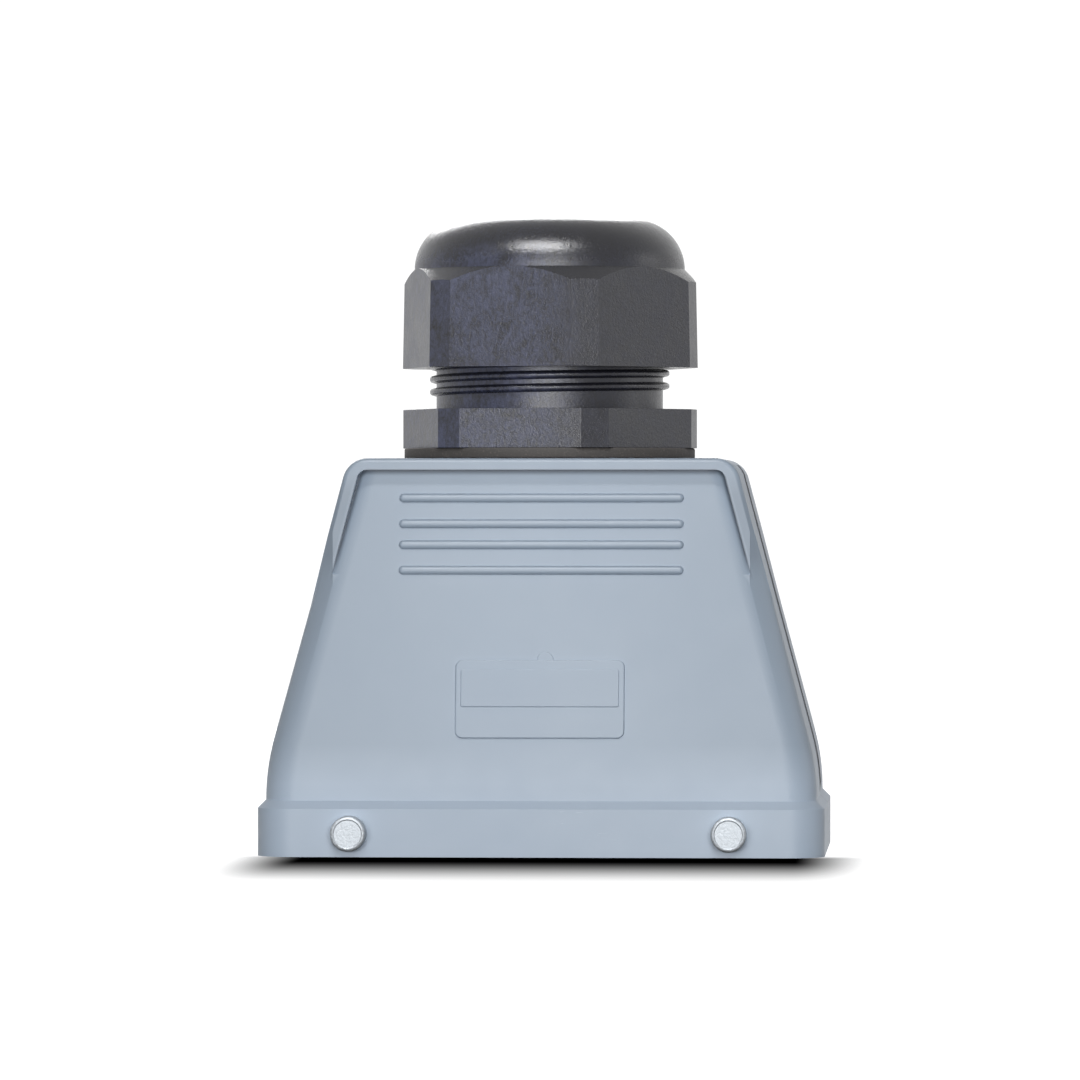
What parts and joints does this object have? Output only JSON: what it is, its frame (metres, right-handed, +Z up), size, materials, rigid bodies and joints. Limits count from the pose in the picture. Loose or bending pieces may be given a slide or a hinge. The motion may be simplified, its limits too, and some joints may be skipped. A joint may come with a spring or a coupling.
{
  "type": "heavy duty rectangular connector hood with pin inserts and cable gland",
  "caption": "Heavy duty rectangular connector: tapered die-cast hood with locking pegs, pin inserts side by side in its open bottom, and a large cable gland with a dome nut on its roof",
  "frame": {"origin": "centre of the hood's open rim, on the face that it stands on", "axes": "+X along the long side to the right, +Y from the front panel to the rear panel, +Z up through the cable gland"},
  "size_m": [0.132, 0.1, 0.1492],
  "materials": {
    "painted_die_cast": "satin",
    "zinc_steel": "bright",
    "washer_rubber": "matte",
    "black_polyamide": "satin",
    "seal_rubber": "matte",
    "insert_plastic": "satin",
    "silvered_brass": "bright",
    "zinc_sheet": "satin",
    "screw_steel": "satin"
  },
  "bodies": {
    "housing": {"hood_shell": "painted_die_cast", "locking_peg_front_left": "zinc_steel", "locking_peg_front_right": "zinc_steel", "locking_peg_rear_left": "zinc_steel", "locking_peg_rear_right": "zinc_steel", "gland_sealing_washer": "washer_rubber", "gland_body": "black_polyamide", "front_pin_insert": "insert_plastic", "rear_pin_insert": "insert_plastic", "contact_pins_1_to_12": "silvered_brass", "contact_pins_13_to_24": "silvered_brass", "contact_pins_25_to_36": "silvered_brass", "contact_pins_37_to_48": "silvered_brass", "earth_contact_front_left": "zinc_sheet", "earth_contact_front_right": "zinc_sheet", "earth_contact_rear_left": "zinc_sheet", "earth_contact_rear_right": "zinc_sheet", "earth_screw_front_left": "screw_steel", "earth_screw_front_right": "screw_steel", "earth_screw_rear_left": "screw_steel", "earth_screw_rear_right": "screw_steel", "fixing_screw_front_outer_left": "screw_steel", "fixing_screw_front_outer_right": "screw_steel", "fixing_screw_front_inner_left": "screw_steel", "fixing_screw_front_inner_right": "screw_steel", "fixing_screw_rear_inner_left": "screw_steel", "fixing_screw_rear_inner_right": "screw_steel", "fixing_screw_rear_outer_left": "screw_steel", "fixing_screw_rear_outer_right": "screw_steel"},
    "clamping_set": {"clamp_cage": "black_polyamide", "cable_seal": "seal_rubber"},
    "nut": {"dome_nut": "black_polyamide"}
  },
  "joints": [
    {"name": "nut_travel", "type": "slide", "parent": "housing", "child": "clamping_set", "axis": [0, 0, 1], "range_m": [-0.00901, 0.00751]},
    {"name": "nut_turn", "type": "hinge", "parent": "clamping_set", "child": "nut", "pos_m": [0, 0, 0.114], "axis": [0, 0, 1], "range_deg": [-1080, 900]}
  ],
  "couplings": [
    {"joint": "nut_travel", "follows": "nut_turn", "m_per_rad": 0.00047746}
  ]
}
